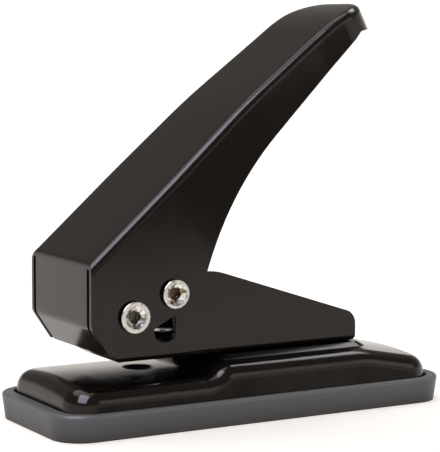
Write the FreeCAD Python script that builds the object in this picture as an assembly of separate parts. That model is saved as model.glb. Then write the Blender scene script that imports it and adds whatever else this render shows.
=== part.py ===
"""One-hole desk punch: folded steel lever, riveted punch frame and a stamped base in a chip tray.

Frame of the part: +X runs from the paper throat at the front to the free end of the lever,
Y = 0 is the plane of symmetry, +Z is up, and the origin is the middle of the tray's underside.
All sizes are millimetres.
"""
import FreeCAD
import Part
import math
import os

Vector = FreeCAD.Vector
UP = Vector(0, 0, 1)
ACROSS = Vector(0, 1, 0)

# ---- chip tray ----
TRAY_LENGTH = 117.0
TRAY_WIDTH = 44.8
TRAY_CORNER = 9.0
TRAY_HEIGHT = 7.0
TRAY_DRAFT = 0.9
TRAY_RIM_ROUND = 0.8
TRAY_FLOOR = 1.6
TRAY_RIM_WIDTH = 1.6
TRAY_END_WIDTH = 3.2
TRAY_LEDGE_Z = 4.6
TRAY_LEDGE_WIDTH = 1.5
BEYOND = 60.0

# ---- stamped base ----
BASE_SHEET = 1.2
BASE_CORNER = 7.5
BASE_DRAFT = 1.5
BASE_SEAT_GAP = 0.3
LOW_DECK_Z = 13.4
RAISED_DECK_Z = 16.4
STEP_RUN = 3.8
STEP_ROUND = 6.0
PLATEAU_END_X = 33.0
REAR_DECK_Z = 12.2
PLATEAU_ROUND = 30.0
BASE_EDGE_ROUND = 4.6
DECK_CROWN = 130.0
PAD_RISE = 0.6
PAD_SLOPE = 0.9
PAD_MARGIN = 1.0
PAD_CORNER = 2.5

# ---- hole and throat ----
HOLE_DIAMETER = 6.0
HOLE_TO_PAPER_EDGE = 12.0
PUNCH_X = -26.7
DIE_CLEARANCE = 0.05
DIE_TOP_DIAMETER = 8.3
DIE_FLANGE_DIAMETER = 12.0
DIE_HEIGHT = 3.2
DIE_COUNTERSINK = 0.5

# ---- punch frame ----
FRAME_SHEET = 1.5
FRAME_WIDTH = 23.4
FRAME_BEND = 2.0
FRAME_FRONT_X = -37.2
FRAME_NOTCH_RISE = 2.6
FRAME_NOTCH_RUN = 3.4
FRAME_BACK_X = 34.1
FRAME_TOP_RISE = 9.2
SHOULDER_X = -9.5
SHOULDER_ROUND = 14.0
FRAME_TAIL_Z = 24.7
FRAME_TAIL_ROUND = 4.0
FRAME_HEEL_ROUND = 1.2

# ---- lever ----
LEVER_SHEET = 1.2
LEVER_WIDTH = 35.2
LEVER_TIP_WIDTH = 30.8
LEVER_TAPER_FROM = 75.0
LEVER_TAPER_TO = 20.0
LEVER_TAPER_ROUND = 60.0
LEVER_BEND = 2.2
NOSE_X = -48.6
NOSE_TOP_Z = 43.4
NOSE_TOP_ROUND = 3.0
NOSE_CREASE_Z = 27.6
NOSE_CREASE_ROUND = 3.0
NOSE_FOOT_X = -43.5
NOSE_FOOT_Z = 20.0
NOSE_BLEND = 10.0
BACK_ANGLE = 41.2
BACK_KNEE_X = -4.0
BACK_KNEE_ROUND = 205.0
BACK_MID_ANGLE = 37.3
BACK_CREST_X = 28.5
BACK_CREST_ROUND = 40.0
BACK_TIP_ANGLE = 10.0
TIP_TOP_X = 36.4
TIP_TOP_Z = 108.2
TIP_LEAN_ANGLE = 28.0
TIP_PLAN_ROUND = 11.0
TIP_FOOT_ANGLE = 8.0
TIP_FOOT_ROUND = 2.0
BELLY_Z_AT_TIP = 100.8
BELLY_X_AT_TIP = 33.0
BELLY_ANGLE = 44.3
BELLY_ROUND = 85.0
HEEL_X = -17.9
HEEL_Z = 32.9
HEEL_ANGLE = 73.0
HEEL_ROUND = 5.0
FLANGE_RELIEF = 1.4

# ---- pins ----
FULCRUM_X = -36.8
FULCRUM_Z = 29.7
DRIVE_X = -25.3
DRIVE_Z = 34.8
LEVER_TRAVEL = 42.0
FULCRUM_DIAMETER = 5.0
DRIVE_DIAMETER = 4.6
FULCRUM_HEAD_DIAMETER = 8.1
DRIVE_HEAD_DIAMETER = 7.5
PIN_HEAD_HEIGHT = 1.3
PIN_HEAD_ROUND = 0.35
PIN_BORE = 3.2
PIN_BORE_DEPTH = 2.4
PIN_DISH = 1.4
PIN_DISH_DEPTH = 0.9
RUNNING_FIT = 0.05
SLOT_SIDE_GAP = 0.25
SLOT_TOP_GAP = 0.3
SLOT_FOOT_Z = 24.6
SLOT_CORNER = 2.6
SIDE_PLAY = 0.3
FULCRUM_SLEEVE_WALL = 1.3
COLLAR_WALL = 1.2
ROLLER_WALL = 0.9

# ---- punch, bush and spring ----
PUNCH_ROLLER_GAP = 0.3
PUNCH_HEAD_DIAMETER = 8.6
PUNCH_HEAD_HEIGHT = 1.4
PUNCH_TIP_ABOVE_THROAT = 0.5
PUNCH_TIP_NOTCH = 1.2
PUNCH_CUP_DIAMETER = 3.6
PUNCH_CUP_DEPTH = 3.0
WASHER_THICKNESS = 0.7
WASHER_DIAMETER = 11.6
BUSH_BODY_DIAMETER = 9.0
BUSH_FLANGE_DIAMETER = 11.6
BUSH_FLANGE_HEIGHT = 0.6
SPRING_WIRE = 0.9
SPRING_FOOT_RADIUS = 9.5
SPRING_LEAN = 1.8
SPRING_HEAD_RADIUS = 5.2
SPRING_SHOULDER_FROM = 0.5
SPRING_SHOULDER_SPAN = 0.25
SPRING_TURNS = 2.5
SPRING_START_ANGLE = 28.0
SPRING_POINTS_PER_TURN = 12
SPRING_END_EASE = 0.8
SPRING_END_GAP = 0.02

# ---- frame rivets ----
RIVET_DIAMETER = 4.0
RIVET_HEAD_DIAMETER = 7.4
RIVET_HEAD_HEIGHT = 1.7
RIVET_HEAD_ROUND = 1.2
RIVET_TAIL_DIAMETER = 6.4
RIVET_TAIL_HEIGHT = 1.1
RIVET_TAIL_ROUND = 0.7
RIVET_FRONT_X = -3.0
RIVET_PITCH = 26.0
RIVET_FIT = 0.04

# ---- derived places ----
THROAT_Z = RAISED_DECK_Z + PAD_RISE
WEB_TOP_Z = THROAT_Z + FRAME_SHEET
PAPER_STOP_X = PUNCH_X + HOLE_TO_PAPER_EDGE
PAD_FRONT_X = PAPER_STOP_X + 2 * STEP_RUN
BASE_FOOT_Z = TRAY_LEDGE_Z + BASE_SEAT_GAP
POCKET_LENGTH = TRAY_LENGTH - 2 * TRAY_END_WIDTH
POCKET_WIDTH = TRAY_WIDTH - 2 * TRAY_RIM_WIDTH
BASE_LENGTH = POCKET_LENGTH - 2 * BASE_SEAT_GAP
BASE_WIDTH = POCKET_WIDTH - 2 * BASE_SEAT_GAP
FRAME_HALF = FRAME_WIDTH / 2
FRAME_INNER_HALF = FRAME_HALF - FRAME_SHEET
LEVER_HALF = LEVER_WIDTH / 2
LEVER_INNER_HALF = LEVER_HALF - LEVER_SHEET
CRANK = math.hypot(DRIVE_X - FULCRUM_X, DRIVE_Z - FULCRUM_Z)
DRIVE_REST_ANGLE = math.atan2(DRIVE_Z - FULCRUM_Z, DRIVE_X - FULCRUM_X)
SLOT_X = (DRIVE_X + FULCRUM_X + CRANK) / 2
SLOT_HALF = DRIVE_DIAMETER / 2 + (FULCRUM_X + CRANK - DRIVE_X) / 2 + SLOT_SIDE_GAP
SLOT_TOP_Z = DRIVE_Z + DRIVE_DIAMETER / 2 + SLOT_TOP_GAP
ROLLER_DIAMETER = DRIVE_DIAMETER + 2 * (RUNNING_FIT + ROLLER_WALL)
PUNCH_TOP_Z = DRIVE_Z - ROLLER_DIAMETER / 2 - PUNCH_ROLLER_GAP
PUNCH_HEAD_FOOT_Z = PUNCH_TOP_Z - PUNCH_HEAD_HEIGHT
WASHER_FOOT_Z = PUNCH_HEAD_FOOT_Z - WASHER_THICKNESS
PUNCH_TIP_Z = THROAT_Z + PUNCH_TIP_ABOVE_THROAT
RIVET_PLACES = (RIVET_FRONT_X, RIVET_FRONT_X + RIVET_PITCH)


def in_profile(x, z):
    """A point of a side profile, drawn in the plane Y = 0."""
    return Vector(x, 0, z)


def in_plan(x, y):
    """A point of a plan outline, drawn in the plane Z = 0."""
    return Vector(x, y, 0)


def rounded_wire(corners, place):
    """Closed wire through (u, v, radius) corners, each turned by a tangent arc."""
    flat = [Vector(u, v, 0) for u, v, _ in corners]
    ends = []
    for index, (_, _, radius) in enumerate(corners):
        here = flat[index]
        back = (flat[index - 1] - here).normalize()
        ahead = (flat[(index + 1) % len(flat)] - here).normalize()
        half = back.getAngle(ahead) / 2
        reach = radius / math.tan(half) if radius else 0.0
        middle = here
        if radius:
            inward = (back + ahead).normalize()
            middle = here + inward * (radius / math.sin(half) - radius)
        ends.append((here + back * reach, middle, here + ahead * reach))
    edges = []
    for index, (start, middle, end) in enumerate(ends):
        if (end - start).Length > 1e-6:
            arc = Part.Arc(*[place(point.x, point.y) for point in (start, middle, end)])
            edges.append(arc.toShape())
        following = ends[(index + 1) % len(ends)][0]
        if (following - end).Length > 1e-6:
            line = Part.LineSegment(place(end.x, end.y), place(following.x, following.y))
            edges.append(line.toShape())
    return Part.Wire(edges)


def profile_slab(corners, half_width):
    """Side profile pushed out to half_width on both sides of the plane of symmetry."""
    wire = rounded_wire(corners, in_profile)
    wire.translate(ACROSS * -half_width)
    return Part.Face(wire).extrude(ACROSS * (2 * half_width))


def crowned_slab(corners, half_width):
    """Side profile swept over a wide arc, so that its level faces are slightly crowned."""
    axis_point = UP * -DECK_CROWN
    along = Vector(1, 0, 0)
    half_sweep = math.degrees(math.asin(half_width / DECK_CROWN))
    face = Part.Face(rounded_wire(corners, in_profile))
    face.rotate(axis_point, along, -half_sweep)
    return face.revolve(axis_point, along, 2 * half_sweep)


def rounded_rectangle(length, width, corner, z, middle_x=0.0):
    """Plan rectangle with round corners at height z."""
    west = middle_x - length / 2
    east = middle_x + length / 2
    side = width / 2
    corners = [(west, -side, corner), (east, -side, corner), (east, side, corner), (west, side, corner)]
    wire = rounded_wire(corners, in_plan)
    wire.translate(UP * z)
    return wire


def tapered_block(foot, head):
    """Solid between two plan rectangles, each given as (length, width, corner, z)."""
    return Part.makeLoft([rounded_rectangle(*foot), rounded_rectangle(*head)], True, True)


def upright(diameter, z_low, z_high, x, y=0.0):
    """Cylinder standing along Z."""
    return Part.makeCylinder(diameter / 2, z_high - z_low, Vector(x, y, z_low), UP)


def crosswise(diameter, y_low, y_high, x, z):
    """Cylinder lying along Y."""
    return Part.makeCylinder(diameter / 2, y_high - y_low, Vector(x, y_low, z), ACROSS)


def edges_where(shape, test):
    """Edges of a shape whose bounding box and midpoint pass a test."""
    chosen = []
    for edge in shape.Edges:
        middle = edge.valueAt((edge.FirstParameter + edge.LastParameter) / 2)
        if test(edge, middle):
            chosen.append(edge)
    return chosen


# ---------------------------------------------------------------- chip tray
def chip_tray():
    """Moulded tray that closes the base, catches the chips and stands on the desk."""
    foot_length = TRAY_LENGTH - 2 * TRAY_DRAFT
    foot_width = TRAY_WIDTH - 2 * TRAY_DRAFT
    outside = tapered_block(
        (foot_length, foot_width, TRAY_CORNER - TRAY_DRAFT, 0.0),
        (TRAY_LENGTH, TRAY_WIDTH, TRAY_CORNER, TRAY_HEIGHT))
    rim = edges_where(outside, lambda edge, middle: abs(middle.z - TRAY_HEIGHT) < 1e-4)
    outside = outside.makeFillet(TRAY_RIM_ROUND, rim)
    seat_corner = TRAY_CORNER - TRAY_RIM_WIDTH
    seat = Part.Face(rounded_rectangle(POCKET_LENGTH, POCKET_WIDTH, seat_corner, TRAY_LEDGE_Z))
    well_length = POCKET_LENGTH - 2 * TRAY_LEDGE_WIDTH
    well_width = POCKET_WIDTH - 2 * TRAY_LEDGE_WIDTH
    well_corner = seat_corner - TRAY_LEDGE_WIDTH
    well = Part.Face(rounded_rectangle(well_length, well_width, well_corner, TRAY_FLOOR))
    tray = outside.cut(seat.extrude(UP * TRAY_HEIGHT))
    return tray.cut(well.extrude(UP * TRAY_HEIGHT))


# ---------------------------------------------------------------- stamped base
def deck_corners(inset):
    """Side profile of the pressing, or of the space inside it when inset by the sheet."""
    far = BASE_LENGTH
    low = LOW_DECK_Z - inset
    high = RAISED_DECK_Z - inset
    rear = REAR_DECK_Z - inset
    stop = PAPER_STOP_X + inset
    return [
        (-far, 0.0, 0.0),
        (-far, low, 0.0),
        (stop, low, STEP_ROUND + inset),
        (stop + STEP_RUN, high, STEP_ROUND - inset),
        (PLATEAU_END_X, high, PLATEAU_ROUND),
        (BASE_LENGTH / 2, rear, 0.0),
        (far, rear, 0.0),
        (far, 0.0, 0.0),
    ]


def base_form(inset):
    """Outer form of the pressing, or its inside when inset by the sheet."""
    length = BASE_LENGTH - 2 * inset
    width = BASE_WIDTH - 2 * inset
    corner = BASE_CORNER - inset
    foot_z = BASE_FOOT_Z if inset == 0 else BASE_FOOT_Z - BASE_SHEET
    lean = BASE_DRAFT * (RAISED_DECK_Z + BASE_SHEET - foot_z) / (RAISED_DECK_Z - BASE_FOOT_Z)
    head = (length - 2 * lean, width - 2 * lean, corner - lean / 2, RAISED_DECK_Z + BASE_SHEET)
    block = tapered_block((length, width, corner, foot_z), head)
    form = block.common(crowned_slab(deck_corners(inset), BASE_WIDTH))
    floor = foot_z + 1e-3

    def is_rim(edge, middle):
        if edge.BoundBox.ZMin < LOW_DECK_Z - 2 * BASE_SHEET - inset:
            return False
        side = middle.y * middle.y > (width / 2 - 2 * BASE_DRAFT - 0.2) ** 2
        crossing = edge.BoundBox.YLength > width / 2
        ends = abs(middle.x) > length / 2 - BASE_CORNER - BASE_DRAFT
        return middle.z > floor and (side or ends) and not (crossing and not ends)

    return form.makeFillet(BASE_EDGE_ROUND - inset, edges_where(form, is_rim))


def seat_pad(inset):
    """Low pressed platform that carries the punch frame, or the space under it."""
    foot_z = RAISED_DECK_Z - inset - PAD_RISE
    reach = 2 * (PAD_MARGIN - inset)
    spread = 2 * PAD_SLOPE * 2
    length = FRAME_BACK_X - PAD_FRONT_X + reach
    width = FRAME_WIDTH + reach
    middle_x = (FRAME_BACK_X + PAD_FRONT_X) / 2
    foot = rounded_rectangle(length + spread, width + spread, PAD_CORNER + PAD_SLOPE, foot_z, middle_x)
    head = rounded_rectangle(length, width, PAD_CORNER, THROAT_Z - inset, middle_x)
    return Part.makeLoft([foot, head], True, True)


def base_plate():
    """Pressed steel base: low front deck, paper stop and a raised seat for the punch frame."""
    outside = base_form(0.0).fuse(seat_pad(0.0))
    inside = base_form(BASE_SHEET).fuse(seat_pad(BASE_SHEET))
    plate = outside.cut(inside)
    plate = plate.cut(upright(DIE_TOP_DIAMETER, 0.0, THROAT_Z, PUNCH_X))
    plate = plate.cut(upright(DIE_FLANGE_DIAMETER, 0.0, LOW_DECK_Z - BASE_SHEET, PUNCH_X))
    for x in RIVET_PLACES:
        plate = plate.cut(upright(RIVET_DIAMETER + 2 * RIVET_FIT, 0.0, 2 * THROAT_Z, x))
    return plate.removeSplitter()


# ---------------------------------------------------------------- die
def die_button():
    """Hardened die let into the low deck, with its flange under the sheet."""
    flange_top = LOW_DECK_Z - BASE_SHEET
    body = upright(DIE_TOP_DIAMETER, flange_top, LOW_DECK_Z, PUNCH_X)
    flange = upright(DIE_FLANGE_DIAMETER, LOW_DECK_Z - DIE_HEIGHT, flange_top, PUNCH_X)
    bore = upright(HOLE_DIAMETER + 2 * DIE_CLEARANCE, 0.0, THROAT_Z, PUNCH_X)
    lip_radius = DIE_TOP_DIAMETER / 2 - DIE_COUNTERSINK / 2
    lead_in = Part.makeCone(
        lip_radius - DIE_COUNTERSINK, lip_radius, DIE_COUNTERSINK,
        Vector(PUNCH_X, 0, LOW_DECK_Z - DIE_COUNTERSINK), UP)
    return body.fuse(flange).cut(bore).cut(lead_in).removeSplitter()


# ---------------------------------------------------------------- punch frame
def channel_section():
    """U-shaped section of the frame: a web with two cheeks and rolled corners."""
    tall = 2 * FRAME_WIDTH
    inner_bend = FRAME_BEND - FRAME_SHEET
    inner = FRAME_INNER_HALF

    def across(y, z):
        return Vector(0, y, z)

    outside = rounded_wire([
        (-FRAME_HALF, THROAT_Z, FRAME_BEND), (FRAME_HALF, THROAT_Z, FRAME_BEND),
        (FRAME_HALF, tall, 0.0), (-FRAME_HALF, tall, 0.0)], across)
    inside = rounded_wire([
        (-inner, WEB_TOP_Z, inner_bend), (inner, WEB_TOP_Z, inner_bend),
        (inner, tall, 0.0), (-inner, tall, 0.0)], across)
    reach = Vector(2 * TRAY_LENGTH, 0, 0)
    outer_bar = Part.Face(outside).extrude(reach)
    inner_bar = Part.Face(inside).extrude(reach)
    bar = outer_bar.cut(inner_bar)
    bar.translate(reach * -0.5)
    return bar


def cheek_wire():
    """Side outline of the frame, round about the fulcrum at its front."""
    crease_run = NOSE_FOOT_X - NOSE_X
    crease_rise = NOSE_CREASE_Z - NOSE_FOOT_Z
    crease = math.hypot(crease_run, crease_rise)
    outward = Vector(-crease_rise / crease, 0, -crease_run / crease)
    fulcrum = Vector(FULCRUM_X, 0, FULCRUM_Z)
    chin = fulcrum + outward * FRAME_TOP_RISE
    brow = fulcrum + UP * FRAME_TOP_RISE
    face = fulcrum + (outward + UP).normalize() * FRAME_TOP_RISE
    jaw = Vector(FRAME_FRONT_X - FRAME_NOTCH_RUN, 0, THROAT_Z + FRAME_NOTCH_RISE)
    toe = Vector(FRAME_FRONT_X, 0, THROAT_Z)
    shoulder_z = FULCRUM_Z + FRAME_TOP_RISE
    back = rounded_wire([
        (FRAME_FRONT_X, THROAT_Z, 0.0),
        (FRAME_BACK_X, THROAT_Z, FRAME_HEEL_ROUND),
        (FRAME_BACK_X, FRAME_TAIL_Z, FRAME_TAIL_ROUND),
        (SHOULDER_X, shoulder_z, SHOULDER_ROUND),
        (FULCRUM_X, shoulder_z, 0.0)], in_profile)
    open_edges = [edge for edge in back.Edges if not runs_between(edge, toe, brow)]
    arc = Part.Arc(chin, face, brow).toShape()
    chain = [toe, jaw, chin]
    closing = [Part.LineSegment(chain[i], chain[i + 1]).toShape() for i in range(len(chain) - 1)]
    return Part.Wire(Part.__sortEdges__(open_edges + closing + [arc]))


def runs_between(edge, one, other):
    """True for a straight edge that joins two given points."""
    ends = [edge.Vertexes[0].Point, edge.Vertexes[-1].Point]
    near = [min((end - point).Length for end in ends) for point in (one, other)]
    return max(near) < 1e-6


def punch_frame():
    """U-shaped frame: it guides the punch, carries the fulcrum and is riveted to the seat."""
    cheeks = Part.Face(cheek_wire())
    cheeks.translate(ACROSS * -FRAME_HALF)
    frame = channel_section().common(cheeks.extrude(ACROSS * FRAME_WIDTH))
    wide = FRAME_WIDTH
    frame = frame.cut(crosswise(FULCRUM_DIAMETER + 2 * RUNNING_FIT, -wide, wide, FULCRUM_X, FULCRUM_Z))
    slot = rounded_wire([
        (SLOT_X - SLOT_HALF, SLOT_FOOT_Z - SLOT_HALF, SLOT_CORNER),
        (SLOT_X + SLOT_HALF, SLOT_FOOT_Z - SLOT_HALF, SLOT_CORNER),
        (SLOT_X + SLOT_HALF, SLOT_TOP_Z, SLOT_CORNER),
        (SLOT_X - SLOT_HALF, SLOT_TOP_Z, SLOT_CORNER)], in_profile)
    slot.translate(ACROSS * -wide)
    frame = frame.cut(Part.Face(slot).extrude(ACROSS * (2 * wide)))
    frame = frame.cut(upright(BUSH_BODY_DIAMETER, 0.0, WEB_TOP_Z + 1.0, PUNCH_X))
    for x in RIVET_PLACES:
        frame = frame.cut(upright(RIVET_DIAMETER + 2 * RIVET_FIT, 0.0, WEB_TOP_Z + 1.0, x))
    return frame


def guide_bush():
    """Flanged bush that guides the punch through the web."""
    body = upright(BUSH_BODY_DIAMETER, THROAT_Z, WEB_TOP_Z, PUNCH_X)
    flange = upright(BUSH_FLANGE_DIAMETER, WEB_TOP_Z, WEB_TOP_Z + BUSH_FLANGE_HEIGHT, PUNCH_X)
    bore = upright(HOLE_DIAMETER + 2 * RUNNING_FIT, 0.0, 2 * WEB_TOP_Z, PUNCH_X)
    return body.fuse(flange).cut(bore).removeSplitter()


def domed_head(diameter, height, base, outward, rounding):
    """Low head of a rivet or pin, its rim rounded on the outer side."""
    head = Part.makeCylinder(diameter / 2, height, base, outward)
    rim = base + outward * height
    far = [edge for edge in head.Edges if len(edge.Vertexes) == 1 and edge.CenterOfMass.distanceToPoint(rim) < 0.01]
    return head.makeFillet(rounding, far)


def frame_rivets():
    """Two rivets that hold the frame to the base, formed over under the sheet."""
    rivets = []
    tail_top = THROAT_Z - BASE_SHEET
    for x in RIVET_PLACES:
        shank = upright(RIVET_DIAMETER, tail_top, WEB_TOP_Z, x)
        head = domed_head(RIVET_HEAD_DIAMETER, RIVET_HEAD_HEIGHT, Vector(x, 0, WEB_TOP_Z), UP, RIVET_HEAD_ROUND)
        tail = domed_head(RIVET_TAIL_DIAMETER, RIVET_TAIL_HEIGHT, Vector(x, 0, tail_top), UP * -1, RIVET_TAIL_ROUND)
        rivets.append(shank.fuse([head, tail]).removeSplitter())
    return Part.makeCompound(rivets)


# ---------------------------------------------------------------- lever
def lever_spine(inset):
    """Nose, back and tip lines of the lever moved inwards, as (x, z, radius) corners."""
    knee_rise = (BACK_KNEE_X - NOSE_X) * math.tan(math.radians(BACK_ANGLE))
    knee_z = NOSE_TOP_Z + knee_rise
    crest_z = knee_z + (BACK_CREST_X - BACK_KNEE_X) * math.tan(math.radians(BACK_MID_ANGLE))
    end_x = BACK_CREST_X + BEYOND
    end_z = crest_z + BEYOND * math.tan(math.radians(BACK_TIP_ANGLE))
    corners = [
        (NOSE_FOOT_X, NOSE_FOOT_Z, 0.0), (NOSE_X, NOSE_CREASE_Z, NOSE_CREASE_ROUND),
        (NOSE_X, NOSE_TOP_Z, NOSE_TOP_ROUND), (BACK_KNEE_X, knee_z, BACK_KNEE_ROUND),
        (BACK_CREST_X, crest_z, BACK_CREST_ROUND), (end_x, end_z, 0.0)]
    return inset_corners(corners, inset)


def inset_corners(corners, inset):
    """Open chain of rounded corners moved to its right-hand side by a distance."""
    lines = []
    for (x0, z0, _), (x1, z1, _) in zip(corners, corners[1:]):
        run = Vector(x1 - x0, 0, z1 - z0).normalize()
        lines.append((Vector(x0 + run.z * inset, 0, z0 - run.x * inset), run))
    points = [lines[0][0]]
    for (start, along), (other, beyond) in zip(lines, lines[1:]):
        gap = other - start
        turn = along.x * beyond.z - along.z * beyond.x
        points.append(start + along * ((gap.x * beyond.z - gap.z * beyond.x) / turn))
    last_x, last_z, _ = corners[-1]
    last_run = lines[-1][1]
    points.append(Vector(last_x + last_run.z * inset, 0, last_z - last_run.x * inset))
    radii = [max(radius - inset, 0.0) for _, _, radius in corners]
    return [(point.x, point.z, radius) for point, radius in zip(points, radii)]


def lever_plan(inset):
    """Prism that bounds the lever's sides and its round tip, leaning with the tip's face."""
    lean = math.radians(TIP_LEAN_ANGLE)
    down = Vector(math.sin(lean), 0, -math.cos(lean))
    rearward = Vector(math.cos(lean), 0, math.sin(lean))
    nose = LEVER_HALF - inset
    tip = LEVER_TIP_WIDTH / 2 - inset
    corner = TIP_PLAN_ROUND - inset
    end = -inset
    top = Vector(TIP_TOP_X, 0, TIP_TOP_Z) - down * BEYOND

    def beside(u, v):
        return top + rearward * u + ACROSS * v

    wire = rounded_wire([
        (-3 * BEYOND, -nose, 0.0), (-LEVER_TAPER_FROM, -nose, LEVER_TAPER_ROUND),
        (-LEVER_TAPER_TO, -tip, LEVER_TAPER_ROUND), (end, -tip, corner),
        (end, tip, corner), (-LEVER_TAPER_TO, tip, LEVER_TAPER_ROUND),
        (-LEVER_TAPER_FROM, nose, LEVER_TAPER_ROUND), (-3 * BEYOND, nose, 0.0)], beside)
    return Part.Face(wire).extrude(down * (4 * BEYOND))


def rolled_bar(inset):
    """Long bar with the lever's back and tip, its top edges rolled over."""
    back = lever_spine(inset)[2:]
    (nose_x, nose_z, _), (knee_x, knee_z, _) = back[0], back[1]
    ahead = BEYOND / 2 / (knee_x - nose_x)
    front_x = nose_x + (nose_x - knee_x) * ahead
    front_z = nose_z + (nose_z - knee_z) * ahead
    rear_x = back[-1][0]
    outline = [(front_x, front_z, 0.0)] + back[1:] + [(rear_x, -BEYOND, 0.0), (front_x, -BEYOND, 0.0)]
    bar = profile_slab(outline, LEVER_WIDTH).common(lever_plan(inset))
    slope_x = (nose_x + knee_x) / 2

    def on_back(edge, middle):
        if abs(middle.y) < LEVER_TIP_WIDTH / 4 or abs(middle.x - slope_x) > TRAY_WIDTH / 2:
            return False
        return abs(middle.z - nose_z - (middle.x - nose_x) * (knee_z - nose_z) / (knee_x - nose_x)) < 0.1

    return bar.makeFillet(LEVER_BEND - inset, edges_where(bar, on_back))


def lever_side(inset):
    """Side outline of the lever's nose, open above the back behind it."""
    spine = lever_spine(inset)
    (nose_x, nose_z, _), (knee_x, knee_z, _) = spine[2], spine[3]
    share = NOSE_BLEND / (knee_x - nose_x)
    blend_x = nose_x + NOSE_BLEND
    blend_z = nose_z + (knee_z - nose_z) * share
    return spine[:3] + [(blend_x, blend_z, 0.0), (blend_x, 2 * BEYOND, 0.0), (BEYOND, 2 * BEYOND, 0.0)]


def handle_lever():
    """Lever folded from one sheet: back, two cheeks, nose flap and a closed tip."""
    belly_slope = math.tan(math.radians(BELLY_ANGLE))
    heel_slope = math.tan(math.radians(HEEL_ANGLE))
    rear_z = BELLY_Z_AT_TIP + (BEYOND - BELLY_X_AT_TIP) * math.tan(math.radians(TIP_FOOT_ANGLE))
    waist_x = (HEEL_Z - HEEL_X * heel_slope - BELLY_Z_AT_TIP + BELLY_X_AT_TIP * belly_slope) / (
        belly_slope - heel_slope)
    waist_z = HEEL_Z + (waist_x - HEEL_X) * heel_slope
    belly = [
        (BEYOND, rear_z, 0.0), (BELLY_X_AT_TIP, BELLY_Z_AT_TIP, TIP_FOOT_ROUND),
        (waist_x, waist_z, BELLY_ROUND), (HEEL_X, HEEL_Z, HEEL_ROUND)]
    outside = rolled_bar(0.0).common(profile_slab(lever_side(0.0) + belly, LEVER_WIDTH))
    core_side = lever_side(LEVER_SHEET)
    foot_x, foot_z, _ = core_side[0]
    crease_x, crease_z, _ = core_side[1]
    core_side[0] = (2 * foot_x - crease_x, 2 * foot_z - crease_z, 0.0)
    below = [(BEYOND, core_side[0][1], 0.0)]
    inside = rolled_bar(LEVER_SHEET).common(profile_slab(core_side + below, LEVER_WIDTH))
    shell = outside.cut(inside)
    for side in (-1, 1):
        inner = side * LEVER_INNER_HALF
        relief = Part.makeBox(
            NOSE_FOOT_X - NOSE_X + 2 * LEVER_SHEET, FLANGE_RELIEF, NOSE_TOP_Z - LEVER_SHEET,
            Vector(NOSE_X - LEVER_SHEET, min(inner, inner - side * FLANGE_RELIEF), 0))
        shell = shell.cut(relief)
    wide = LEVER_WIDTH
    shell = shell.cut(crosswise(FULCRUM_DIAMETER, -wide, wide, FULCRUM_X, FULCRUM_Z))
    shell = shell.cut(crosswise(DRIVE_DIAMETER, -wide, wide, DRIVE_X, DRIVE_Z))
    return shell


# ---------------------------------------------------------------- pins and what runs on them
def headed_pin(diameter, head, x, z):
    """Pin across the lever, upset into a rounded head with a bored end on both sides."""
    pin = crosswise(diameter, -LEVER_HALF, LEVER_HALF, x, z)
    for side in (-1, 1):
        outward = ACROSS * side
        seat = Vector(x, side * LEVER_HALF, z)
        pin = pin.fuse(domed_head(head, PIN_HEAD_HEIGHT, seat, outward, PIN_HEAD_ROUND))
        face = seat + outward * PIN_HEAD_HEIGHT
        pin = pin.cut(Part.makeCylinder(PIN_BORE / 2, PIN_BORE_DEPTH, face - outward * PIN_BORE_DEPTH, outward))
        mouth = PIN_BORE / 2 + PIN_DISH
        dish = Part.makeCone(PIN_BORE / 2, mouth, PIN_DISH_DEPTH, face - outward * PIN_DISH_DEPTH, outward)
        pin = pin.cut(dish)
    return pin.removeSplitter()


def fulcrum_pin():
    """Pin that the lever turns on."""
    return headed_pin(FULCRUM_DIAMETER, FULCRUM_HEAD_DIAMETER, FULCRUM_X, FULCRUM_Z)


def drive_pin():
    """Pin that presses the punch down and stops the lever in its slots."""
    return headed_pin(DRIVE_DIAMETER, DRIVE_HEAD_DIAMETER, DRIVE_X, DRIVE_Z)


def tube(outer, inner, y_low, y_high, x, z):
    """Plain tube lying across the punch."""
    return crosswise(outer, y_low, y_high, x, z).cut(crosswise(inner, y_low, y_high, x, z))


def fulcrum_sleeve():
    """Spacer tube between the cheeks of the frame, which carries the fulcrum pin."""
    bore = FULCRUM_DIAMETER + 2 * RUNNING_FIT
    outer = bore + 2 * FULCRUM_SLEEVE_WALL
    return tube(outer, bore, -FRAME_INNER_HALF, FRAME_INNER_HALF, FULCRUM_X, FULCRUM_Z)


def collar(diameter, x, z, side):
    """Short spacer on a pin, between one lever cheek and the frame."""
    near = FRAME_HALF + SIDE_PLAY
    y_low, y_high = sorted((side * near, side * LEVER_INNER_HALF))
    return tube(diameter + 2 * COLLAR_WALL, diameter, y_low, y_high, x, z)


def fulcrum_collar_left():
    """Fulcrum spacer on the -Y side."""
    return collar(FULCRUM_DIAMETER, FULCRUM_X, FULCRUM_Z, -1)


def fulcrum_collar_right():
    """Fulcrum spacer on the +Y side."""
    return collar(FULCRUM_DIAMETER, FULCRUM_X, FULCRUM_Z, 1)


def drive_collar_left():
    """Drive pin spacer on the -Y side."""
    return collar(DRIVE_DIAMETER, DRIVE_X, DRIVE_Z, -1)


def drive_collar_right():
    """Drive pin spacer on the +Y side."""
    return collar(DRIVE_DIAMETER, DRIVE_X, DRIVE_Z, 1)


def drive_roller():
    """Roller on the drive pin that bears on the head of the punch."""
    half = FRAME_INNER_HALF - SIDE_PLAY
    return tube(ROLLER_DIAMETER, DRIVE_DIAMETER, -half, half, DRIVE_X, DRIVE_Z)


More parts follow.
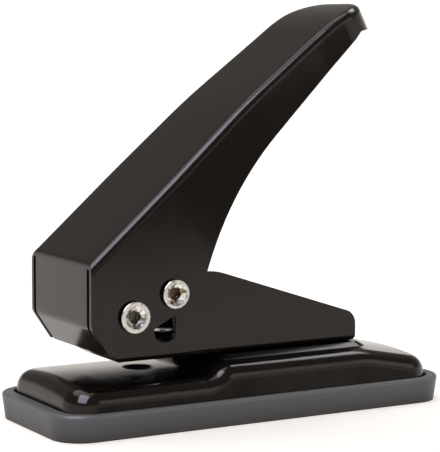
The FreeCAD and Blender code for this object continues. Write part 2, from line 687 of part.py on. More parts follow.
# ---------------------------------------------------------------- punch and spring
def punch_pin():
    """Hardened punch: headed, with a notched and hollow cutting end."""
    shank = upright(HOLE_DIAMETER, PUNCH_TIP_Z, PUNCH_HEAD_FOOT_Z, PUNCH_X)
    head = upright(PUNCH_HEAD_DIAMETER, PUNCH_HEAD_FOOT_Z, PUNCH_TOP_Z, PUNCH_X)
    punch = shank.fuse(head)
    half = HOLE_DIAMETER / 2
    notch = Part.makePolygon([
        Vector(PUNCH_X - HOLE_DIAMETER, -HOLE_DIAMETER, PUNCH_TIP_Z - HOLE_DIAMETER * PUNCH_TIP_NOTCH / half),
        Vector(PUNCH_X, -HOLE_DIAMETER, PUNCH_TIP_Z + PUNCH_TIP_NOTCH),
        Vector(PUNCH_X + HOLE_DIAMETER, -HOLE_DIAMETER, PUNCH_TIP_Z - HOLE_DIAMETER * PUNCH_TIP_NOTCH / half),
        Vector(PUNCH_X - HOLE_DIAMETER, -HOLE_DIAMETER, PUNCH_TIP_Z - HOLE_DIAMETER * PUNCH_TIP_NOTCH / half)])
    punch = punch.cut(Part.Face(notch).extrude(ACROSS * (2 * HOLE_DIAMETER)))
    cup = upright(PUNCH_CUP_DIAMETER, PUNCH_TIP_Z, PUNCH_TIP_Z + PUNCH_CUP_DEPTH, PUNCH_X)
    return punch.cut(cup).removeSplitter()


def spring_washer():
    """Washer under the punch head that takes the push of the spring."""
    disc = upright(WASHER_DIAMETER, WASHER_FOOT_Z, PUNCH_HEAD_FOOT_Z, PUNCH_X)
    return disc.cut(upright(HOLE_DIAMETER, WASHER_FOOT_Z, PUNCH_HEAD_FOOT_Z, PUNCH_X))


def spring_radius(share):
    """Wide lower turns that lean in a little, then a shoulder in under the washer."""
    low = SPRING_FOOT_RADIUS - SPRING_LEAN * share
    along = min(max((share - SPRING_SHOULDER_FROM) / SPRING_SHOULDER_SPAN, 0.0), 1.0)
    return low + (SPRING_HEAD_RADIUS - low) * (1 - math.cos(math.pi * along)) / 2


def return_spring():
    """Beehive spring that lifts the punch and the lever, with close end turns."""
    foot_z = WEB_TOP_Z + SPRING_WIRE / 2 + SPRING_END_GAP
    head_z = WASHER_FOOT_Z - SPRING_WIRE / 2 - SPRING_END_GAP
    count = int(SPRING_TURNS * SPRING_POINTS_PER_TURN)
    points = []
    for i in range(count + 1):
        share = i / count
        angle = math.radians(SPRING_START_ANGLE) - 2 * math.pi * SPRING_TURNS * share
        rise = share - SPRING_END_EASE * math.sin(2 * math.pi * share) / (2 * math.pi)
        radius = spring_radius(share)
        points.append(Vector(
            PUNCH_X + radius * math.cos(angle), radius * math.sin(angle),
            foot_z + (head_z - foot_z) * rise))
    curve = Part.BSplineCurve()
    curve.interpolate(points)
    run = curve.tangent(curve.FirstParameter)[0]
    section = Part.Wire([Part.makeCircle(SPRING_WIRE / 2, points[0], run)])
    return Part.Wire([curve.toShape()]).makePipeShell([section], True, True)


# ---------------------------------------------------------------- export
PARTS = [
    chip_tray, base_plate, die_button, punch_frame, guide_bush, frame_rivets, fulcrum_sleeve,
    handle_lever, fulcrum_pin, fulcrum_collar_left, fulcrum_collar_right,
    drive_pin, drive_collar_left, drive_collar_right, drive_roller,
    punch_pin, spring_washer, return_spring,
]

os.makedirs("parts", exist_ok=True)
for build in PARTS:
    shape = build()
    shape.exportStep(os.path.join("parts", build.__name__ + ".step"))
    print(build.__name__, shape.isValid(), len(shape.Solids), round(shape.Volume, 1))
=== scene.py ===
# %% [markdown]
# # A one-hole desk punch under soft studio light
#
# A desk punch is a folded steel lever on a small frame, riveted to a pressed base that stands
# in a soft plastic tray. Its solids come from the imported model and stay where they are. This
# lesson gives every visible piece its finish, puts a welded copy in the spring's place, and then
# builds the floor, the lights and the camera.
#
# Lengths are in metres. +X runs from the paper throat to the free end of the lever, +Z is up,
# and the plane Y = 0 is the middle of the punch.

# %% Load the imported model
import math

import bmesh
import bpy
from mathutils import Matrix, Vector


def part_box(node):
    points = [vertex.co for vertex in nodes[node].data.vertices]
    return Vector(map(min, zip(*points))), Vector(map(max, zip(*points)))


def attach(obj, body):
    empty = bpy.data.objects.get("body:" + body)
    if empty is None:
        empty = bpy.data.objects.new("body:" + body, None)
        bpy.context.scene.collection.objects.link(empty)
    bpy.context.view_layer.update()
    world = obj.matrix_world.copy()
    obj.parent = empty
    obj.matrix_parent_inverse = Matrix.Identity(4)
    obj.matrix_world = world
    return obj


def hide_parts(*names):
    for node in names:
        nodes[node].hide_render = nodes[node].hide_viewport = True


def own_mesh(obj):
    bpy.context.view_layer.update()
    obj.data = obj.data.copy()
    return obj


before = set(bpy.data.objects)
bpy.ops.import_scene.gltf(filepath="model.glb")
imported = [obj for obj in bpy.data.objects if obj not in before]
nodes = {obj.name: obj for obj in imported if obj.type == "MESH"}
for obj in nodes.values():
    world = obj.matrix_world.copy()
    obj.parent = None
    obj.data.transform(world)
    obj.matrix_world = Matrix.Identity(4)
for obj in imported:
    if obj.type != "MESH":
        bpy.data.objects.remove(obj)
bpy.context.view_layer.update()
print("pieces:", sorted(nodes))

# %% [markdown]
# ## Node helpers
#
# A finish is a small net of nodes. It could be drawn by hand in the shader editor, but the
# same few moves come back in every material, so they are functions here: add a node, start a
# material, give it to pieces, read a point's place and read one axis of it.
#
# Places are Object coordinates. Every piece keeps its origin at the world's origin, so the size
# of a texture is a real size in metres, and a pattern moves with its piece.


# %% Node helpers
def add_node(tree, kind, **settings):
    """Add a node; a setting is one of its attributes or else the value of an input."""
    node = tree.nodes.new(kind)
    for key, value in settings.items():
        if hasattr(node, key):
            setattr(node, key, value)
        else:
            node.inputs[key.replace("_", " ")].default_value = value
    return node


def new_material(name):
    """Empty material with a Principled shader; returns the material, tree and shader."""
    material = bpy.data.materials.new(name)
    material.use_nodes = True
    tree = material.node_tree
    shader = tree.nodes["Principled BSDF"]
    return material, tree, shader


def dress(material, *names):
    """Give CAD nodes a material through their object's slots."""
    for name in names:
        for slot in nodes[name].material_slots:
            slot.link = "OBJECT"
            slot.material = material


def object_place(tree):
    """Output that holds a point's own place."""
    return tree.nodes.new("ShaderNodeTexCoord").outputs["Object"]


def along(tree, place, axis):
    """Output that holds the X, Y or Z of a place."""
    split = tree.nodes.new("ShaderNodeSeparateXYZ")
    tree.links.new(place, split.inputs["Vector"])
    return split.outputs[axis]


print("node helpers ready")

# %% [markdown]
# ## Blends
#
# Several finishes turn from one colour to another over a stretch: the foot of the tray, the
# face of a pin, the sheet in front of the punch. A colour ramp could do it, with the stretch
# hidden in its stops. A Map Range node and a Mix node do it here, because the two ends of the
# stretch are then plain lengths that can be named and held against the solids. A Mix node has
# sockets for every kind of data, and the ones for colours are found by their number.

# %% Blends
MIX_SHARE = 0
MIX_BEFORE = 6
MIX_AFTER = 7
MIX_COLOUR = 2


def remap(tree, value, start, end):
    """Map Range node that turns start to end of a value into 0 to 1."""
    span = tree.nodes.new("ShaderNodeMapRange")
    span.inputs["From Min"].default_value = start
    span.inputs["From Max"].default_value = end
    tree.links.new(value, span.inputs["Value"])
    return span


def blend(tree, share, before, after):
    """Mix of two colours, each a plain colour or the output of another node."""
    mix = add_node(tree, "ShaderNodeMix", data_type="RGBA")
    tree.links.new(share, mix.inputs[MIX_SHARE])
    for number, colour in ((MIX_BEFORE, before), (MIX_AFTER, after)):
        if isinstance(colour, tuple):
            mix.inputs[number].default_value = colour
        else:
            tree.links.new(colour, mix.inputs[number])
    return mix.outputs[MIX_COLOUR]


def blend_at(tree, value, start, end, before, after):
    """Colour that turns from before to after as a value goes from start to end."""
    share = remap(tree, value, start, end).outputs["Result"]
    return blend(tree, share, before, after)


print("a Mix node takes colours at sockets", MIX_BEFORE, "and", MIX_AFTER)

# %% [markdown]
# ## Shared surface effects
#
# No real surface is quite even. Enamel dries with a faint orange peel, moulded plastic has a
# grain, and hands and dust leave marks on both. Each effect could be drawn again in every
# material, but a change would then have to be made many times. A node group is built once and
# placed with its own values, so the first thing is a function for a group and its sockets.


# %% A node group and its sockets
def group_with_sockets(name, inputs, outputs):
    """Shader node group with float sockets; returns the group, its input and output nodes."""
    group = bpy.data.node_groups.new(name, "ShaderNodeTree")
    for label, default in inputs:
        socket = group.interface.new_socket(label, in_out="INPUT", socket_type="NodeSocketFloat")
        socket.default_value = default
    for label in outputs:
        group.interface.new_socket(label, in_out="OUTPUT", socket_type="NodeSocketFloat")
    return group, group.nodes.new("NodeGroupInput"), group.nodes.new("NodeGroupOutput")


print("group helper ready")

# %% [markdown]
# ## Fine relief
#
# The waves in enamel and the grain of a moulded piece differ mostly in size. Real bumps could
# be modelled, but they stand lower than a hair is thick and would take millions of faces. One
# smooth noise with its scale as an input gives the height of both, and a Bump node reads it.

# %% Fine relief
relief, relief_in, relief_out = group_with_sockets(
    "Fine relief", [("Scale", 900.0), ("Detail", 2.0)], ["Height"])
relief_noise = relief.nodes.new("ShaderNodeTexNoise")
relief.links.new(object_place(relief), relief_noise.inputs["Vector"])
relief.links.new(relief_in.outputs["Scale"], relief_noise.inputs["Scale"])
relief.links.new(relief_in.outputs["Detail"], relief_noise.inputs["Detail"])
relief.links.new(relief_noise.outputs["Fac"], relief_out.inputs["Height"])
print("shared effect:", relief.name)

# %% [markdown]
# ## Handling marks
#
# Fingers leave broad smudges that dull the gloss a little, and dust settles as separate specks.
# Both could be painted into an image, which has to be laid out on the surface and runs out of
# detail close up. A slow noise that moves between two roughness values makes the smudges. The
# specks are the middles of a Voronoi pattern's cells, where its distance is small.

# %% Handling marks
SMUDGE_SCALE = 55.0
SMUDGE_FROM = 0.38
SMUDGE_FULL = 0.72
SPECK_SCALE = 1400.0
SPECK_EDGE = 0.16
SPECK_CORE = 0.05

marks, marks_in, marks_out = group_with_sockets(
    "Handling marks", [("Low", 0.1), ("High", 0.3)], ["Roughness", "Dust"])
marks_place = object_place(marks)
smudge = add_node(
    marks, "ShaderNodeTexNoise", Scale=SMUDGE_SCALE, Detail=4.0, Roughness=0.6)
speck = add_node(marks, "ShaderNodeTexVoronoi", Scale=SPECK_SCALE)
marks.links.new(marks_place, smudge.inputs["Vector"])
marks.links.new(marks_place, speck.inputs["Vector"])
smudge_range = remap(marks, smudge.outputs["Fac"], SMUDGE_FROM, SMUDGE_FULL)
speck_mask = remap(marks, speck.outputs["Distance"], SPECK_EDGE, SPECK_CORE)
marks.links.new(marks_in.outputs["Low"], smudge_range.inputs["To Min"])
marks.links.new(marks_in.outputs["High"], smudge_range.inputs["To Max"])
marks.links.new(smudge_range.outputs["Result"], marks_out.inputs["Roughness"])
marks.links.new(speck_mask.outputs["Result"], marks_out.inputs["Dust"])
print("shared effect:", marks.name)

# %% [markdown]
# ## Relief, edges and gloss in one call
#
# Every finish of this punch needs the same three things: relief, edges that catch a thin light
# and an uneven gloss. No edge of real sheet is sharp. Its tiny round could be cut into the
# solid, which costs many faces, so a Bevel node turns the normals near an edge instead and
# gives the same line of light. The Bump node adds the relief on top of it.

# %% Relief, edges and gloss in one call
EDGE_SAMPLES = 6


def surface_detail(tree, shader, scale, height, roughness, edge):
    """Relief, softly rounded edges and uneven roughness; returns the handling marks node."""
    grain = tree.nodes.new("ShaderNodeGroup")
    grain.node_tree = relief
    grain.inputs["Scale"].default_value = scale
    rounded = add_node(tree, "ShaderNodeBevel", samples=EDGE_SAMPLES, Radius=edge)
    bump = add_node(tree, "ShaderNodeBump", Strength=1.0, Distance=height)
    tree.links.new(grain.outputs["Height"], bump.inputs["Height"])
    tree.links.new(rounded.outputs["Normal"], bump.inputs["Normal"])
    tree.links.new(bump.outputs["Normal"], shader.inputs["Normal"])
    touch = tree.nodes.new("ShaderNodeGroup")
    touch.node_tree = marks
    touch.inputs["Low"].default_value, touch.inputs["High"].default_value = roughness
    tree.links.new(touch.outputs["Roughness"], shader.inputs["Roughness"])
    return touch


print("surface detail takes a relief scale, its height, a roughness range and an edge radius")

# %% [markdown]
# ## Gloss black paint
#
# The lever, the frame, the base and the rivets are steel under baked black enamel: a warm
# near-black, smooth, with a faint orange peel and a little dust. A plain black shader with a
# high gloss looks like ink, because nothing on it varies. Here the colour is almost nothing and
# the look comes from what the paint mirrors. Lacquer has an index of refraction near 1.5. A
# lower one is set, chosen so that the mirrored room stays dark.

# %% Gloss black paint
PAINT_IOR = 1.39
PAINT_MIRROR_TINT = (1.0, 0.93, 0.90, 1.0)
PAINT_BLACK = (0.0058, 0.0043, 0.0034, 1.0)
DUST_GREY = (0.05, 0.048, 0.046, 1.0)
DUST_SHARE = 0.05
ORANGE_PEEL_SCALE = 650.0
ORANGE_PEEL_HEIGHT = 0.000002
PAINT_ROUGHNESS = (0.11, 0.19)
PAINT_EDGE = 0.00028

paint, tree, shader = new_material("gloss_black_paint")
shader.inputs["IOR"].default_value = PAINT_IOR
shader.inputs["Specular Tint"].default_value = PAINT_MIRROR_TINT
touch = surface_detail(
    tree, shader, ORANGE_PEEL_SCALE, ORANGE_PEEL_HEIGHT, PAINT_ROUGHNESS, PAINT_EDGE)
dust = add_node(tree, "ShaderNodeMath", operation="MULTIPLY")
dust.inputs[1].default_value = DUST_SHARE
tree.links.new(touch.outputs["Dust"], dust.inputs[0])
dusty_black = blend(tree, dust.outputs["Value"], PAINT_BLACK, DUST_GREY)
tree.links.new(dusty_black, shader.inputs["Base Color"])
dress(paint, "base_plate", "punch_frame", "handle_lever", "frame_rivets")
print("painted:", paint.name)

# %% [markdown]
# ## Moulded tray
#
# The tray is one piece of soft blue-grey plastic, pulled off to empty the chips. Its foot, where
# it stands on the desk, is darkened warm with painted shade, and its lip is made paler with a
# painted highlight. Separate materials could be given to separate faces, but the change is
# gradual. So the colour follows the height above the desk, over two close greys that meet in soft
# clouds.

# %% Moulded tray
TRAY_IOR = 1.47
TRAY_GREY = (0.066, 0.070, 0.082, 1.0)
TRAY_PALE_GREY = (0.080, 0.085, 0.098, 1.0)
# Painted shade: the tray is darker low down, where it stands on the desk.
TRAY_FOOT_SHADE = (0.030, 0.026, 0.023, 1.0)
# Painted highlight: the lip is paler along the top.
TRAY_LIP_HIGHLIGHT = (0.15, 0.155, 0.165, 1.0)
FOOT_FULL_Z = 0.0
FOOT_END_Z = 0.0055
LIP_FROM_Z = 0.0058
LIP_FULL_Z = 0.0068
GRAIN_SCALE = 1500.0
GRAIN_HEIGHT = 0.00002
TRAY_ROUGHNESS = (0.42, 0.55)
TRAY_EDGE = 0.0005
CLOUD_SCALE = 30.0

tray, tree, shader = new_material("moulded_tray")
shader.inputs["IOR"].default_value = TRAY_IOR
surface_detail(tree, shader, GRAIN_SCALE, GRAIN_HEIGHT, TRAY_ROUGHNESS, TRAY_EDGE)
place = object_place(tree)
cloud = add_node(tree, "ShaderNodeTexNoise", Scale=CLOUD_SCALE, Detail=3.0)
tree.links.new(place, cloud.inputs["Vector"])
plastic = blend(tree, cloud.outputs["Fac"], TRAY_GREY, TRAY_PALE_GREY)
height = along(tree, place, "Z")
# The foot blend paints shade low down, and the lip blend paints a highlight along the top.
side = blend_at(tree, height, FOOT_FULL_Z, FOOT_END_Z, TRAY_FOOT_SHADE, plastic)
rim = blend_at(tree, height, LIP_FROM_Z, LIP_FULL_Z, side, TRAY_LIP_HIGHLIGHT)
tree.links.new(rim, shader.inputs["Base Color"])
dress(tray, "chip_tray")
print("moulded:", tray.name)

# %% [markdown]
# ## Bare metals
#
# The working pieces are bare. The punch, its spring and washer, the sleeve, the collars and
# the roller are plain steel, and the die and the guide bush are blackened when they are
# hardened. A mirror-smooth metal shader would look like chrome on all of them. One recipe with
# a very fine relief and a polish that changes from place to place makes them look worked, and
# the two steels differ only in colour and roughness.

# %% Bare metals
TOOL_MARK_SCALE = 2500.0
TOOL_MARK_HEIGHT = 0.000004
METAL_EDGE = 0.00018
STEEL_GREY = (0.60, 0.60, 0.59, 1.0)
STEEL_ROUGHNESS = (0.22, 0.4)
STEEL_BLACK = (0.045, 0.045, 0.048, 1.0)
BLACK_ROUGHNESS = (0.3, 0.5)


def metal(name, colour, roughness, *names):
    """Worked metal for the named CAD nodes; returns the material, tree and shader."""
    material, tree, shader = new_material(name)
    shader.inputs["Base Color"].default_value = colour
    shader.inputs["Metallic"].default_value = 1.0
    surface_detail(tree, shader, TOOL_MARK_SCALE, TOOL_MARK_HEIGHT, roughness, METAL_EDGE)
    dress(material, *names)
    return material, tree, shader


steel, *_ = metal(
    "plain_steel", STEEL_GREY, STEEL_ROUGHNESS,
    "punch_pin", "spring_washer", "return_spring", "fulcrum_sleeve", "drive_roller",
    "fulcrum_collar_left", "fulcrum_collar_right", "drive_collar_left", "drive_collar_right")
black_steel, *_ = metal(
    "blackened_steel", STEEL_BLACK, BLACK_ROUGHNESS, "die_button", "guide_bush")
print("metals:", steel.name, "and", black_steel.name)

# %% [markdown]
# ## Distance from a pin's own axis
#
# The two pins are turned pieces, so what changes over them changes with the distance from
# their axis, and with how far out along it a point lies. Both could be painted by face, but
# the faces follow the solid and not the wear and painted shade. A vector from the pin's middle,
# with one or two of its axes struck out, has exactly these lengths.

# %% Distance from a pin's own axis
ACROSS_THE_PIN = (1.0, 0.0, 1.0)
ALONG_THE_PIN = (0.0, 1.0, 0.0)


def from_middle(tree, place, node):
    """Output that holds the vector from the middle of a CAD node to a place."""
    low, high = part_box(node)
    offset = add_node(tree, "ShaderNodeVectorMath", operation="SUBTRACT")
    offset.inputs[1].default_value = [(a + b) / 2 for a, b in zip(low, high)]
    tree.links.new(place, offset.inputs[0])
    return offset.outputs["Vector"]


def length_of(tree, vector, axes):
    """Output that holds the length of a vector, counted along the given axes only."""
    kept = add_node(tree, "ShaderNodeVectorMath", operation="MULTIPLY")
    kept.inputs[1].default_value = axes
    length = add_node(tree, "ShaderNodeVectorMath", operation="LENGTH")
    tree.links.new(vector, kept.inputs[0])
    tree.links.new(kept.outputs["Vector"], length.inputs[0])
    return length.outputs["Value"]


print("pins lie along Y, so their radius is counted along", ACROSS_THE_PIN)

# %% [markdown]
# ## Plated pins
#
# The pins that the lever turns on and presses with are nickel-plated, and their heads are upset
# over the lever: a bright flat ring, a dented dish and a bore. The dish and the bore are in the
# solid, and the bore is darkened with painted shade. The dents could be modelled too, but they
# are finer than its mesh. Noise that turns the dish from dull to bright paints glints where dents
# would catch the light, and the plating of the ring is worn in the same spots. The side of the
# head, behind the ring, is darkened with painted shade.

# %% Nickel for a pin
PLATED = (0.62, 0.60, 0.57, 1.0)
WORN = (0.36, 0.34, 0.31, 1.0)
# Painted glints: bright patches on the dish where dents would catch the light.
DENT_GLINT = (0.90, 0.87, 0.82, 1.0)
# Painted shade on the side of the head, behind the ring.
HEAD_SIDE_SHADE = (0.02, 0.018, 0.016, 1.0)
PLATED_ROUGHNESS = (0.2, 0.36)
DENT_SCALE = 900.0
DENT_FROM = 0.44
DENT_FULL = 0.60
WEAR_FULL = 0.30
WEAR_END = 0.50
PIN_BORE_RADIUS = 0.0016
BORE_BLUR = 0.0002
PIN_MOUTH_RADIUS = 0.0030
MOUTH_BLUR = 0.0003
SIDE_BLUR = 0.0002
PIN_FACE_FROM = 0.01845
PIN_FACE_FULL = 0.01870


def pin_nickel(name, node, dish_colour, bore_shade):
    """Nickel for one pin: bright ring, dish with painted glints, painted shade in the bore and on
    the head's side.
    """
    material, tree, shader = metal(name, PLATED, PLATED_ROUGHNESS, node)
    place = object_place(tree)
    offset = from_middle(tree, place, node)
    radius = length_of(tree, offset, ACROSS_THE_PIN)
    reach = length_of(tree, offset, ALONG_THE_PIN)
    dents = add_node(tree, "ShaderNodeTexNoise", Scale=DENT_SCALE, Detail=2.0)
    tree.links.new(place, dents.inputs["Vector"])
    glinting_dish = blend_at(tree, dents.outputs["Fac"], DENT_FROM, DENT_FULL, dish_colour, DENT_GLINT)
    plate = blend_at(tree, dents.outputs["Fac"], WEAR_FULL, WEAR_END, WORN, PLATED)
    # The bore is darkened with painted shade.
    dish = blend_at(
        tree, radius, PIN_BORE_RADIUS - BORE_BLUR, PIN_BORE_RADIUS + BORE_BLUR,
        bore_shade, glinting_dish)
    face = blend_at(
        tree, radius, PIN_MOUTH_RADIUS - MOUTH_BLUR, PIN_MOUTH_RADIUS, dish, plate)
    # The side of the head gets painted shade.
    side = blend_at(
        tree, radius, PIN_MOUTH_RADIUS, PIN_MOUTH_RADIUS + SIDE_BLUR, face, HEAD_SIDE_SHADE)
    colour = blend_at(tree, reach, PIN_FACE_FROM, PIN_FACE_FULL, side, face)
    tree.links.new(colour, shader.inputs["Base Color"])
    return material


print(f"pin faces: bore {PIN_BORE_RADIUS * 1000} mm, mouth {PIN_MOUTH_RADIUS * 1000} mm in radius")

# %% [markdown]
# The fulcrum pin only turns, and its dish is clean and grey. The drive pin also slides in the
# frame's slots and picks up old grease, so its dish and bore are browner. One material could
# serve both only if the pins were alike, so each gets its own from the same function.

# %% Plated pins
# The bore colours are painted shade, and the drive's is also browner with its grease.
FULCRUM_DISH = (0.22, 0.20, 0.18, 1.0)
FULCRUM_BORE_SHADE = (0.07, 0.06, 0.05, 1.0)
DRIVE_DISH = (0.16, 0.11, 0.07, 1.0)
DRIVE_BORE_SHADE = (0.09, 0.06, 0.04, 1.0)

fulcrum_nickel = pin_nickel("fulcrum_nickel", "fulcrum_pin", FULCRUM_DISH, FULCRUM_BORE_SHADE)
drive_nickel = pin_nickel("drive_nickel", "drive_pin", DRIVE_DISH, DRIVE_BORE_SHADE)
print("plated:", fulcrum_nickel.name, "and", drive_nickel.name)

# %% [markdown]
# ## Return spring
#
# The tapered coil round the punch pushes it back up. It shortens as the lever goes down, which
# a rigid solid can't show. So a copy of the solid stands in for it. The solid's mesh is loose
# triangles, so the copy is welded before its normals are recalculated.

# %% Return spring
WELD_DISTANCE = 1e-6


def spring_copy(name, node):
    """Welded, smooth copy of a CAD node as a piece of its own."""
    mesh = bpy.data.meshes.new(name)
    work = bmesh.new()
    work.from_mesh(nodes[node].data)
    bmesh.ops.remove_doubles(work, verts=work.verts, dist=WELD_DISTANCE)
    bmesh.ops.recalc_face_normals(work, faces=work.faces)
    work.to_mesh(mesh)
    work.free()
    mesh.shade_smooth()
    mesh.materials.clear()
    mesh.materials.append(steel)
    piece = bpy.data.objects.new(name, mesh)
    bpy.context.collection.objects.link(piece)
    return piece


coil = spring_copy("return_coil", "return_spring")
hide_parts("return_spring")
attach(coil, "punch_unit")
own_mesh(coil)

# %% [markdown]
# ## Floor
#
# The punch stands on a wide, plain, pale floor. A curved backdrop could hide the horizon, but
# it has a front and a back, and this punch is seen from all round. A very large flat plane
# looks the same from every side. It glows faintly, which keeps it even out to the horizon.

# %% Floor
FLOOR_SIZE = 40.0
FLOOR_COLOUR = (0.93, 0.905, 0.875, 1.0)
FLOOR_GLOW = 0.58
FLOOR_ROUGHNESS = 0.9
FLOOR_MIRROR = 0.1


def floor_finish(shader):
    """Matt finish that glows a little by itself."""
    shader.inputs["Roughness"].default_value = FLOOR_ROUGHNESS
    shader.inputs["Specular IOR Level"].default_value = FLOOR_MIRROR
    shader.inputs["Emission Strength"].default_value = FLOOR_GLOW


bpy.ops.mesh.primitive_plane_add(size=FLOOR_SIZE)
floor = bpy.context.object
floor.name = "studio_floor"
floor_paint, tree, shader = new_material("pale_floor")
floor_finish(shader)
shader.inputs["Base Color"].default_value = FLOOR_COLOUR
shader.inputs["Emission Color"].default_value = FLOOR_COLOUR
floor.data.materials.append(floor_paint)
print("floor:", floor.name)

# %% [markdown]
# ## Grey sheet
#
# Glossy black paint shows mostly what it mirrors, and the upright cheeks of the lever mirror
# the floor in front of the punch. In a studio a grey sheet is laid there, out of view, so that
# the cheeks stay darker than the back of the lever. The floor itself could be greyer in front,
# but that would show from behind. So the sheet is a piece of the stage that only reflections
# can see. Its far edge is turned up, because the camera stands about as high as the tip of the
# lever and finds mirrored there what lies level with it.

# %% Shape of the grey sheet
SHEET_FROM_Y = -0.22
SHEET_TO_Y = -3.2
SHEET_WIDTH = 10.0
SHEET_EDGE_HEIGHT = 0.19
SHEET_LIFT = 0.0005

sheet_mesh = bpy.data.meshes.new("grey_sheet")
work = bmesh.new()
bmesh.ops.create_grid(work, x_segments=1, y_segments=1, size=0.5)  # one metre square
bmesh.ops.scale(
    work, vec=(SHEET_WIDTH, SHEET_FROM_Y - SHEET_TO_Y, 1.0), verts=work.verts)
bmesh.ops.translate(
    work, vec=(0, (SHEET_FROM_Y + SHEET_TO_Y) / 2, SHEET_LIFT), verts=work.verts)
far_edge = min(work.edges, key=lambda edge: sum(vert.co.y for vert in edge.verts))
turned_up = bmesh.ops.extrude_edge_only(work, edges=[far_edge])["geom"]
bmesh.ops.translate(
    work, vec=(0, 0, SHEET_EDGE_HEIGHT),
    verts=[item for item in turned_up if isinstance(item, bmesh.types.BMVert)])
work.to_mesh(sheet_mesh)
work.free()
print("grey sheet:", len(sheet_mesh.polygons), "faces")

# %% [markdown]
# The sheet starts in the floor's own colour, so that no edge of it is mirrored, and turns grey
# and then dark, each by a blend along Y. It is hidden from the camera, from diffuse light, from
# shadows and from light that goes through glass, which leaves only the reflections.

# %% Finish of the grey sheet
SHEET_GREY = (0.55, 0.525, 0.50, 1.0)
SHEET_GREY_Y = -0.44
SHEET_DARK = (0.118, 0.108, 0.10, 1.0)
SHEET_DARK_FROM_Y = -0.34
SHEET_DARK_Y = -0.48

sheet_paint, tree, shader = new_material("grey_sheet")
floor_finish(shader)
forward = along(tree, object_place(tree), "Y")
shade = blend_at(tree, forward, SHEET_GREY_Y, SHEET_FROM_Y, SHEET_GREY, FLOOR_COLOUR)
shade = blend_at(tree, forward, SHEET_DARK_Y, SHEET_DARK_FROM_Y, SHEET_DARK, shade)
tree.links.new(shade, shader.inputs["Base Color"])
tree.links.new(shade, shader.inputs["Emission Color"])
sheet_mesh.materials.append(sheet_paint)
sheet = bpy.data.objects.new("grey_sheet", sheet_mesh)
bpy.context.collection.objects.link(sheet)
sheet.visible_camera = False
sheet.visible_diffuse = False
sheet.visible_shadow = False
sheet.visible_transmission = False
print("sheet:", sheet.name)

# %% [markdown]
# ## The room
#
# A glossy black piece mirrors the room as well as the floor. A single grey world would make
# every face of it the same, and an image of a real studio would bring its own shapes along. A
# ramp from the horizon to the top is enough: bright low down, so that level faces mirror a pale
# band, and dim above, so that the back of the lever stays dark.

# %% The room
ROOM_HORIZON = (1.0, 0.95, 0.90, 1.0)
ROOM_TOP = (0.24, 0.24, 0.25, 1.0)
ROOM_WARMTH = (1.0, 0.94, 0.88)
ROOM_LEVELS = ((0.12, 1.0), (0.26, 0.27), (0.65, 0.22))
ROOM_STRENGTH = 1.12

world = bpy.data.worlds.new("studio_room")
world.use_nodes = True
bpy.context.scene.world = world
tree = world.node_tree
background = tree.nodes["Background"]
direction = tree.nodes.new("ShaderNodeTexCoord").outputs["Generated"]
ramp = tree.nodes.new("ShaderNodeValToRGB")
stops = ramp.color_ramp.elements
stops[0].position = 0.0
stops[0].color = ROOM_HORIZON
stops[1].position = 1.0
stops[1].color = ROOM_TOP
for position, strength in ROOM_LEVELS:
    stops.new(position).color = (*(strength * part for part in ROOM_WARMTH), 1.0)
tree.links.new(along(tree, direction, "Z"), ramp.inputs["Fac"])
tree.links.new(ramp.outputs["Color"], background.inputs["Color"])
background.inputs["Strength"].default_value = ROOM_STRENGTH
print("room:", world.name, "with", len(stops), "stops")

# %% [markdown]
# ## Lamp helpers
#
# The thin lights along the bends are soft panels, mirrored. Ordinary area lights would also
# leave bright patches on the floor, so the panels are hidden from diffuse light. A very wide
# distant lamp, like an overcast sky, lights the floor evenly instead. Each lamp shines along
# its own -Z, so a helper turns it towards its target, which is easier to read than three angles.


# %% Lamp helpers
def add_lamp(name, light, aim):
    """Object for a light that shines along a vector."""
    lamp = bpy.data.objects.new(name, light)
    bpy.context.collection.objects.link(lamp)
    lamp.rotation_euler = aim.to_track_quat("-Z", "Y").to_euler()
    return lamp


def soft_panel(name, place, target, size, watts, colour=(1.0, 1.0, 1.0)):
    """Area light aimed at a point and seen in reflections only, so the floor stays even."""
    light = bpy.data.lights.new(name, "AREA")
    light.shape = "RECTANGLE"
    light.size, light.size_y = size
    light.energy = watts
    light.color = colour
    panel = add_lamp(name, light, Vector(target) - Vector(place))
    panel.location = place
    panel.visible_diffuse = False
    return panel


def soft_sky(name, towards, width, strength, colour):
    """Distant light as wide as the given angle, for an even floor out to the horizon."""
    light = bpy.data.lights.new(name, "SUN")
    light.angle = math.radians(width)
    light.energy = strength
    light.color = colour
    return add_lamp(name, light, -Vector(towards))


print("lamp helpers ready")

# %% [markdown]
# ## Lamps
#
# A large panel overhead, faintly violet, draws the long lights along the bends. Two weaker
# ones, behind and in front on the right, pick out the other edges. More lamps would fill the
# dark faces too, and the black enamel would no longer look black.

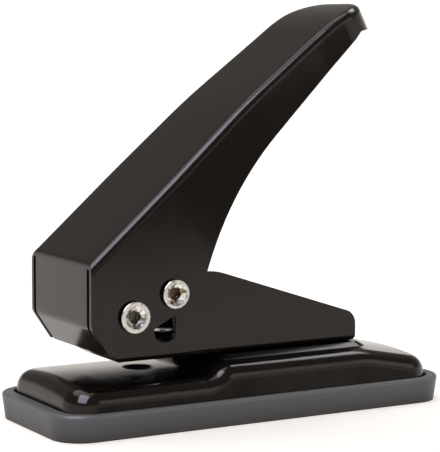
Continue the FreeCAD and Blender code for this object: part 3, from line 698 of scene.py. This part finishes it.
# %% Lamps
lamps = [
    soft_panel("overhead", place=(-0.56, -0.42, 0.88), target=(0.0, 0.0, 0.04),
               size=(0.62, 1.00), watts=18.0, colour=(0.80, 0.80, 1.0)),
    soft_panel("rear_right", place=(0.62, 0.30, 0.95), target=(0.0, 0.0, 0.02),
               size=(0.55, 0.30), watts=2.6),
    soft_panel("front_right", place=(0.72, -0.86, 0.52), target=(0.0, 0.0, 0.02),
               size=(0.80, 0.42), watts=1.3, colour=(1.0, 0.95, 0.95)),
    soft_sky("diffuse_top", towards=(-0.1, 0.2, 1.0), width=50.0, strength=1.2,
             colour=(1.0, 0.99, 0.98))]
print("lamps:", [lamp.name for lamp in lamps])

# %% [markdown]
# ## Camera
#
# A long lens, six degrees above the desk and thirty degrees round towards the nose, keeps the
# upright edges nearly parallel. A Track To constraint could aim the camera, but it can't hold a
# small roll. So the camera's three axes are worked out from its azimuth and elevation, and the
# roll is added last. The frame is taller than wide, so the sensor's width lies along its
# height. The Standard view keeps the blacks black and the floor white.

# %% Camera
CAMERA_PLACE = Vector((-0.24506, -0.41628, 0.10124))
CAMERA_AZIMUTH = math.radians(-30.30)
CAMERA_ELEVATION = math.radians(6.17)
CAMERA_ROLL = math.radians(0.225)
FOCAL_LENGTH_PX = 1822.5
IMAGE_HEIGHT_PX = 452
SENSOR_WIDTH_MM = 36.0

back = Vector((
    math.sin(CAMERA_AZIMUTH) * math.cos(CAMERA_ELEVATION),
    -math.cos(CAMERA_AZIMUTH) * math.cos(CAMERA_ELEVATION),
    math.sin(CAMERA_ELEVATION)))
right = Vector((0, 0, 1)).cross(back).normalized()
level = Matrix((right, back.cross(right), back)).transposed().to_4x4()
roll = Matrix.Rotation(CAMERA_ROLL, 4, "Z")

camera_data = bpy.data.cameras.new("product_camera")
camera_data.sensor_width = SENSOR_WIDTH_MM
camera_data.lens = FOCAL_LENGTH_PX / IMAGE_HEIGHT_PX * SENSOR_WIDTH_MM
camera_data.clip_start = 0.01
camera = bpy.data.objects.new("product_camera", camera_data)
bpy.context.collection.objects.link(camera)
camera.matrix_world = Matrix.Translation(CAMERA_PLACE) @ level @ roll
bpy.context.scene.camera = camera
bpy.context.scene.view_settings.view_transform = "Standard"
print("camera at", tuple(round(v, 3) for v in camera.location))
